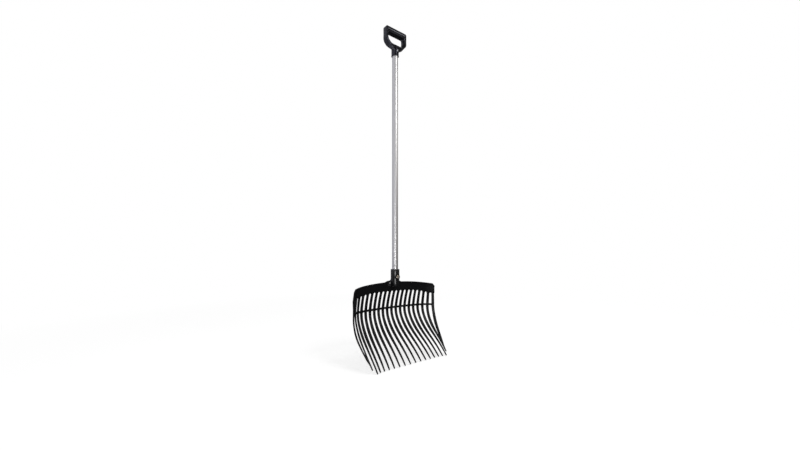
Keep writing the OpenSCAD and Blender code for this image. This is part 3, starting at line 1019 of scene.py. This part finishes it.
def straight(a, b, steps):
    """Points along a line, without its last one."""
    return [Vector(a).lerp(Vector(b), k / steps) for k in range(steps)]


def upper_outline(half_w, top, corner_r, bend_z):
    """Right half of an outline from the middle of its top, round a corner and down to a bend."""
    corner = (half_w - corner_r, top - corner_r)
    return (
        straight((0, top), (corner[0], top), SIDE_STEPS)
        + arc(corner, corner_r, 90, 0, CORNER_STEPS)
        + straight((half_w, corner[1]), (half_w, bend_z), SIDE_STEPS)
    )


def grip_outline(half_w, top, foot):
    """Outer outline of a face of the grip, right half, from top to bottom."""
    bend_r, bend_z, neck_z = foot
    bend = Vector((half_w - bend_r, bend_z))
    neck = Vector((0, neck_z))
    line = neck - bend
    turn = math.atan2(line.y, line.x) + math.acos((bend_r - NECK_R) / line.length)
    normal = Vector((math.cos(turn), math.sin(turn)))
    return (
        upper_outline(half_w, top, GRIP_CORNER_R, bend_z)
        + arc(bend, bend_r, 0, math.degrees(turn), SIDE_STEPS)
        + straight(bend + normal * bend_r, neck + normal * NECK_R, SIDE_STEPS)
        + arc(neck, NECK_R, math.degrees(turn), -90, CORNER_STEPS)
        + [neck + Vector((0, -NECK_R))]
    )


def gap_outline(half_w):
    """Outline of the hand gap, right half, with as many points as the outer one."""
    bend = (half_w - GAP_BEND_R, GAP_BEND_R - GAP_H)
    return (
        upper_outline(half_w, GAP_TOP, GAP_CORNER_R, bend[1])
        + arc(bend, GAP_BEND_R, 0, -90, 2 * SIDE_STEPS)
        + straight((bend[0], -GAP_H), (0, -GAP_H), CORNER_STEPS)
        + [Vector((0, -GAP_H))]
    )


def grip_section(width, outer_edge, sink):
    """Half a section of the grip, from its outer side to the hand gap: a border round a raised panel."""
    half_t = GRIP_T / 2
    outer, inner = (min(edge, width * EDGE_SHARE) for edge in (outer_edge, GAP_EDGE_R))
    border = min(BORDER_W, width * BORDER_SHARE)
    slope = min(BORDER_SLOPE, border * SLOPE_LIMIT_SHARE)
    section = []
    for k in range(OUTER_EDGE_STEPS + 1):
        a = math.pi / 2 * (1 - k / OUTER_EDGE_STEPS)
        depth = half_t - sink - outer * (1 - math.cos(a))
        section.append((width - outer * (1 - math.sin(a)), depth))
    for share in SLOPE_STEP_SHARES:
        section.append((width - border - slope * share, half_t - sink * (1 - ease(share))))
    for k in range(GAP_EDGE_STEPS + 1):
        a = math.pi / 2 * k / GAP_EDGE_STEPS
        section.append((inner * (1 - math.sin(a)), half_t - inner * (1 - math.cos(a))))
    return section


def grip_face(outer, inner, depth_sign, edge):
    """Points of half a ring of the grip, between its outer outline and the hand gap."""
    across = outer - inner
    low, high = BORDER_FADE
    sink = BORDER_SINK * ease((outer.y - low) / (high - low))
    section = grip_section(across.length, edge, sink)
    across.normalize()
    return [
        Vector((inner.x + across.x * out, depth_sign * depth, inner.y + across.y * out))
        for out, depth in section
    ]


def grip_loop():
    """The loop round the hand gap; its sides lean between the front and the back outlines."""
    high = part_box("d_grip")[1]
    top = high.z + TOP_DRAFT
    front = zip(grip_outline(high.x + FRONT_DRAFT, top, FRONT_FOOT), gap_outline(GAP_HALF_W))
    back = zip(grip_outline(high.x + BACK_DRAFT, top, BACK_FOOT), gap_outline(GAP_HALF_W - GAP_TAPER))
    right = [f + b for f, b in zip(front, back)]
    left = [tuple(Vector((-p.x, p.y)) for p in station) for station in right[-2:0:-1]]
    rings = [
        grip_face(f, gap_f, -1, FRONT_EDGE_R) + grip_face(b, gap_b, 1, BACK_EDGE_R)[::-1]
        for f, gap_f, b, gap_b in right + left
    ]
    return loft("d_grip_piece", rings, caps=False)


def grip_neck():
    """The neck: a round sleeve with a domed top that stands out of the loop, and a thicker rim."""
    foot_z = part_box("d_grip")[0].z - NECK_DROP
    dome_z = -GAP_H - NECK_DOME_DROP
    bore = bore_r()
    rings = []
    for k in range(NECK_DOME_STEPS + 1):
        a = math.pi / 2 * (1 - k / NECK_DOME_STEPS)
        r = NECK_R * mix(NECK_DOME_SHARE, 1.0, math.cos(a))
        rings.append(round_ring(r, dome_z + NECK_DOME_H * math.sin(a)))
    widening, height = NECK_RIM_SHARES
    rings.append(round_ring(NECK_R, foot_z + NECK_RIM_H))
    rings.append(round_ring(mix(NECK_R, NECK_RIM_R, widening), foot_z + NECK_RIM_H * height))
    rings += [round_ring(NECK_RIM_R - inwards, foot_z + up) for inwards, up in NECK_RIM_EDGE]
    rings.append(round_ring(bore + NECK_CHAMFER, foot_z))
    rings.append(round_ring(bore, foot_z + NECK_CHAMFER))
    rings.append(round_ring(bore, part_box("handle_tube")[1].z))
    return loft("grip_neck", rings)


def screw_seat():
    seat = loft("seat", [
        round_ring(SEAT_R + SEAT_FLARE, NECK_R * SEAT_FOOT_SHARE),
        round_ring(SEAT_R + SEAT_FLARE / 3, NECK_R + SEAT_PROUD * SEAT_RISE_SHARE),
        round_ring(SEAT_R, SEAT_FACE - SEAT_ROUND_H),
        round_ring(SEAT_R - SEAT_ROUND_W, SEAT_FACE),
    ])
    return placed(seat, FACE_FRONT, Vector((0, 0, middle_z("grip_screw"))))


def d_grip(material):
    obj = grip_loop()
    combine(obj, grip_neck(), "UNION")
    combine(obj, screw_seat(), "UNION")
    smooth(obj, GRIP_CRISP)
    finish_piece(obj, "black_plastic", material, "d_grip")


# The self-tapping screw in the grip's neck

SCREW_CRISP = 35
SCREW_R = 2.1 * MM
SCREW_POINT_R = 0.2 * MM
SCREW_POINT_H = 1.5 * MM
SCREW_POINT_SHARE = 0.5
# The thread: how far it stays from the point and from the head, its turns, its crest and its groove
SCREW_THREAD_MARGINS = (1.8 * MM, 1.5 * MM)
SCREW_TURNS = 7
SCREW_CREST = 0.5 * MM
SCREW_ROOT_SHARE = 0.72
SCREW_NECK_H = 0.8 * MM
SCREW_NECK_SHARE = 0.8
# The pan head, as shares of its radius and of its height
PAN_STEPS = 6
PAN_FOOT_SHARE = 0.94
PAN_ROUND_SHARE = 0.62
PAN_FLAT_SHARE = 0.6
PAN_TIP_SHARE = 0.05
PAN_SIDE_SHARE = 0.28
# The cross drive: length and width of its slots, their depth, and how far they shrink to their floor
CROSS_TURNS = (20, 110)
CROSS_L_SHARE = 1.15
CROSS_W_SHARE = 0.26
CROSS_DEPTH_SHARE = 0.55
CROSS_FLOOR_SHARES = (0.55, 0.8)
CROSS_OVERRUN = 0.4 * MM


def screw_shank(length):
    """Rings of a pointed shank with the grooves of a coarse thread, up to the head."""
    from_point, from_head = SCREW_THREAD_MARGINS
    rings = [
        round_ring(SCREW_POINT_R, -length),
        round_ring(SCREW_R * SCREW_POINT_SHARE, -length + SCREW_POINT_H),
    ]
    for k in range(SCREW_TURNS):
        foot = mix(-length + from_point, -from_head, k / SCREW_TURNS)
        rings.append(round_ring(SCREW_R * SCREW_ROOT_SHARE, foot))
        rings.append(round_ring(SCREW_R, foot + SCREW_CREST))
    rings += [round_ring(SCREW_R * SCREW_NECK_SHARE, z) for z in (-SCREW_NECK_H, 0)]
    return rings


def pan_head(r, h):
    """Rings of a pan head: a short side, a round shoulder and a flat top."""
    rings = [round_ring(r * PAN_FOOT_SHARE, 0)]
    for k in range(PAN_STEPS):
        a = math.pi / 2 * k / PAN_STEPS
        z = h * mix(PAN_SIDE_SHARE, 1.0, math.sin(a))
        rings.append(round_ring(r * mix(PAN_ROUND_SHARE, 1.0, math.cos(a)), z))
    return rings + [round_ring(r * share, h) for share in (PAN_FLAT_SHARE, PAN_TIP_SHARE)]


def cross_slot(r, h, turn):
    """A slot of the cross drive, to be cut out of a head."""
    half_l, half_w = r * CROSS_L_SHARE / 2, r * CROSS_W_SHARE / 2
    corners = [(half_l, half_w), (-half_l, half_w), (-half_l, -half_w), (half_l, -half_w)]
    shrink_l, shrink_w = CROSS_FLOOR_SHARES
    floor_z = h - h * CROSS_DEPTH_SHARE
    slot = loft("cross", [
        [Vector((x * shrink_l, y * shrink_w, floor_z)) for x, y in corners],
        [Vector((x, y, h + CROSS_OVERRUN)) for x, y in corners],
    ])
    slot.data.transform(Matrix.Rotation(math.radians(turn), 4, "Z"))
    return slot


def grip_screw(material):
    low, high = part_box("grip_screw")
    seat_y = -SEAT_FACE
    head_r, head_h = high.x, seat_y - low.y
    obj = loft("grip_screw_piece", screw_shank(high.y - seat_y) + pan_head(head_r, head_h))
    for turn in CROSS_TURNS:
        combine(obj, cross_slot(head_r, head_h, turn), "DIFFERENCE")
    placed(obj, FACE_FRONT, Vector((0, seat_y, middle_z("grip_screw"))))
    smooth(obj, SCREW_CRISP)
    finish_piece(obj, "zinc_steel", material, "grip_screw")


# Stage, light and camera

# Cards seen in reflections: start and end, in degrees to the right of the camera, then foot and
# top of those that stand or inner and outer radius of those that lie, and brightness
CARDS = [
    ("card_left_back", -180, -112, -1.5, 0.0, (0.32, 0.32, 0.36)),
    ("card_left_back_high", -180, -112, 0.0, 7.0, (0.5, 0.5, 0.53)),
    ("card_left", -112, -80, -1.5, 7.0, (0.5, 0.5, 0.54)),
    ("card_left_strip", -80, -48, -1.5, 7.0, (0.78, 0.78, 0.83)),
    ("card_front", -48, 4, -1.5, 0.0, (0.5, 0.5, 0.53)),
    ("card_front_high", -48, 4, 0.0, 7.0, (0.68, 0.68, 0.71)),
    ("card_right", 4, 88, -1.5, 2.7, (0.31, 0.293, 0.28)),
    ("card_right_top", 4, 88, 2.7, 7.0, (0.04, 0.04, 0.04)),
    ("card_side", 88, 132, -1.5, 0.8, (0.31, 0.293, 0.28)),
    ("card_side_high", 88, 132, 0.8, 3.2, (0.85, 0.82, 0.79)),
    ("card_side_top", 88, 132, 3.2, 7.0, (0.04, 0.04, 0.04)),
    ("card_right_back", 132, 180, -1.5, 2.7, (0.31, 0.293, 0.28)),
    ("card_right_back_top", 132, 180, 2.7, 7.0, (0.04, 0.04, 0.04)),
]
FLOOR_CARDS = [
    ("card_floor_left", -165, -65, 0.02, 1.3, (0.45, 0.45, 0.48)),
    ("card_floor_left_far", -165, -65, 1.3, 3.6, (0.62, 0.62, 0.68)),
    ("card_floor_left_end", -165, -65, 3.6, 6.0, (0.3, 0.3, 0.33)),
    ("card_floor_middle", -65, -12, 0.02, 6.0, (0.08, 0.08, 0.08)),
    ("card_floor_front", -12, 42, 0.02, 6.0, (0.35, 0.35, 0.37)),
    ("card_floor_right", 42, 195, 0.02, 6.0, (0.06, 0.06, 0.06)),
]
CEILING_HEIGHT = 7.0
CEILING_COLOUR = (0.05, 0.05, 0.055)
CARD_RADIUS = 6.0
CARD_STEPS = 16
# Soft lamps: degrees to the right of the camera, height, distance from the tube, width and height,
# brightness, and the height on the tube that they are aimed at
LAMPS = [
    ("front_low", 0, -1.08, 2.3, (1.5, 0.5), 2.8, -1.03),
    ("front_strip", 9.5, -1.1, 2.2, (0.54, 0.46), 6.8, -1.03),
    ("high_right", 49, 0.83, 2.4, (1.35, 0.88), 5.9, -0.6),
    ("high_side", 98, 2.4, 2.0, (0.9, 0.7), 4.2, -0.6),
]
# The white world: its strength as light, and as it is seen
WORLD_LIGHT = 0.5
WORLD_SEEN = 1.0
FLOOR_HALF_W = 30.0
FLOOR_GAP = 2 * MM
FLOOR_GREY = (0.84, 0.84, 0.84)
# The floor's own brightness near the fork, and where it fades to white, in metres from the grip
FLOOR_GLOW = 0.49
FLOOR_FADE = (1.6, 2.6)


def seen_share(tree):
    """One for what the camera sees, straight or in gloss or glass, and zero for other light."""
    path = tree.nodes.new("ShaderNodeLightPath")
    share = path.outputs["Is Camera Ray"]
    for name in ("Is Glossy Ray", "Is Transmission Ray"):
        larger = tree.nodes.new("ShaderNodeMath")
        larger.operation = "MAXIMUM"
        tree.links.new(share, larger.inputs[0])
        tree.links.new(path.outputs[name], larger.inputs[1])
        share = larger.outputs["Value"]
    return share


def white_world():
    world = bpy.data.worlds.new("studio")
    world.use_nodes = True
    bpy.context.scene.world = world
    tree = world.node_tree
    background = tree.nodes["Background"]
    background.inputs["Color"].default_value = (1, 1, 1, 1)
    level = tree.nodes.new("ShaderNodeMapRange")
    level.inputs["To Min"].default_value = WORLD_LIGHT
    level.inputs["To Max"].default_value = WORLD_SEEN
    tree.links.new(seen_share(tree), level.inputs["Value"])
    tree.links.new(level.outputs["Result"], background.inputs["Strength"])


def stage_object(name, points, faces, material):
    obj = add_object(name, points, faces)
    obj.data.materials.append(material)
    return obj


def pale_floor():
    """A wide pale floor just under the tips: it takes a soft shadow and fades into white."""
    m = Nodes("pale_floor")
    reach = m.add("ShaderNodeVectorMath", operation="LENGTH")
    m.link(m.place, reach.inputs["Vector"])
    far = m.ramp(reach.outputs["Value"], *FLOOR_FADE)
    m.colour(m.blend(far, FLOOR_GREY, (0, 0, 0)))
    m.fix("Roughness", 1.0)
    m.fix("Specular IOR Level", 0.0)
    m.fix("Emission Color", (1, 1, 1, 1))
    glow = m.ramp(far, 0, 1, FLOOR_GLOW, 1.0)
    m.link(m.times(glow, seen_share(m.tree)), m.shader.inputs["Emission Strength"])
    half, z = FLOOR_HALF_W, CAD_BOX[0].z - FLOOR_GAP
    points = [(-half, -half, z), (half, -half, z), (half, half, z), (-half, half, z)]
    stage_object("floor", points, [(0, 1, 2, 3)], m.material)


def glowing(name, colour):
    material = bpy.data.materials.new(name)
    material.use_nodes = True
    tree = material.node_tree
    glow = tree.nodes.new("ShaderNodeEmission")
    glow.inputs["Color"].default_value = (*colour, 1)
    tree.links.new(glow.outputs["Emission"], tree.nodes["Material Output"].inputs["Surface"])
    return material


def reflection_card(name, points, faces, colour):
    """A glowing card that only shows in reflections."""
    card = stage_object(name, points, faces, glowing(name, colour))
    card.visible_camera = False
    card.visible_diffuse = False
    card.visible_shadow = False
    card.visible_transmission = False


def round_the_fork(azimuth, radius, z):
    """A point at an azimuth to the right of the camera, a distance from the tube and a height."""
    a = EYE_AZIMUTH - math.radians(azimuth)
    return Vector((-math.sin(a) * radius, -math.cos(a) * radius, z))


def bent_card(name, start, end, edges, colour):
    """A card bent round the fork between two edges, each given as a radius and a height."""
    turns = [mix(start, end, k / CARD_STEPS) for k in range(CARD_STEPS + 1)]
    points = [round_the_fork(a, radius, z) for a in turns for radius, z in edges]
    faces = [(2 * k, 2 * k + 2, 2 * k + 3, 2 * k + 1) for k in range(CARD_STEPS)]
    reflection_card(name, points, faces, colour)


def studio_cards():
    """Cards round, below and above the fork, which give gloss and metal their light and dark sides."""
    for name, start, end, foot, top, colour in CARDS:
        bent_card(name, start, end, [(CARD_RADIUS, foot), (CARD_RADIUS, top)], colour)
    z = CAD_BOX[0].z - FLOOR_GAP / 2
    for name, start, end, inner, outer, colour in FLOOR_CARDS:
        bent_card(name, start, end, [(inner, z), (outer, z)], colour)
    turns = [360 * k / CARD_STEPS for k in range(CARD_STEPS)]
    ceiling = [round_the_fork(a, CARD_RADIUS, CEILING_HEIGHT) for a in turns]
    reflection_card("card_ceiling", ceiling, [range(CARD_STEPS)], CEILING_COLOUR)


def softbox(name, azimuth, height, distance, size, brightness, aim_z):
    """A soft rectangular lamp at an azimuth to the right of the camera, aimed at the fork."""
    data = bpy.data.lights.new(name, "AREA")
    data.shape = "RECTANGLE"
    data.size, data.size_y = size
    data.energy = brightness * math.pi * size[0] * size[1]
    lamp = bpy.data.objects.new(name, data)
    bpy.context.scene.collection.objects.link(lamp)
    lamp.location = round_the_fork(azimuth, distance, height)
    aim = Vector((0, 0, aim_z)) - lamp.location
    lamp.rotation_euler = aim.to_track_quat("-Z", "Y").to_euler()
    lamp.visible_camera = False


def photo_camera():
    data = bpy.data.cameras.new("camera")
    data.sensor_width = SENSOR_W
    data.lens = FOCAL_PX / IMAGE_W * SENSOR_W
    data.shift_x = 0.5 - AXIS_PX / IMAGE_W
    data.clip_start = CLIP_START
    camera = bpy.data.objects.new("camera", data)
    bpy.context.scene.collection.objects.link(camera)
    level = Vector((math.sin(EYE_AZIMUTH), math.cos(EYE_AZIMUTH), 0))
    look = level * math.cos(EYE_PITCH) + Vector((0, 0, math.sin(EYE_PITCH)))
    camera.location = level * -EYE_DISTANCE + Vector((0, 0, EYE_HEIGHT))
    camera.rotation_euler = look.to_track_quat("-Z", "Y").to_euler()
    bpy.context.scene.camera = camera


def build_fork():
    worn_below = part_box("tine_10")[0].z + WORN_H
    zinc = zinc_plate("zinc_plate", clear=(0.62, 0.6, 0.57), cast=(0.54, 0.48, 0.41))
    scoop_head(black_plastic("head_black", roughness=0.34, gloss=0.22, worn_below=worn_below))
    head_socket(black_plastic("socket_black", roughness=0.16, gloss=0.42))
    head_bolt(zinc)
    head_washer(zinc_plate("zinc_washer", clear=(0.6, 0.58, 0.54), cast=(0.4, 0.33, 0.22)))
    head_nut(zinc)
    handle_tube(drawn_aluminium())
    d_grip(black_plastic("grip_black", roughness=0.2, gloss=0.55, tint=(0.8, 0.81, 1.0)))
    grip_screw(zinc_plate("screw_plate", clear=(0.5, 0.51, 0.53), cast=(0.4, 0.41, 0.43)))


def build_studio():
    white_world()
    pale_floor()
    studio_cards()
    for lamp in LAMPS:
        softbox(*lamp)
    photo_camera()
    bpy.context.scene.view_settings.view_transform = "Standard"


build_fork()
build_studio()
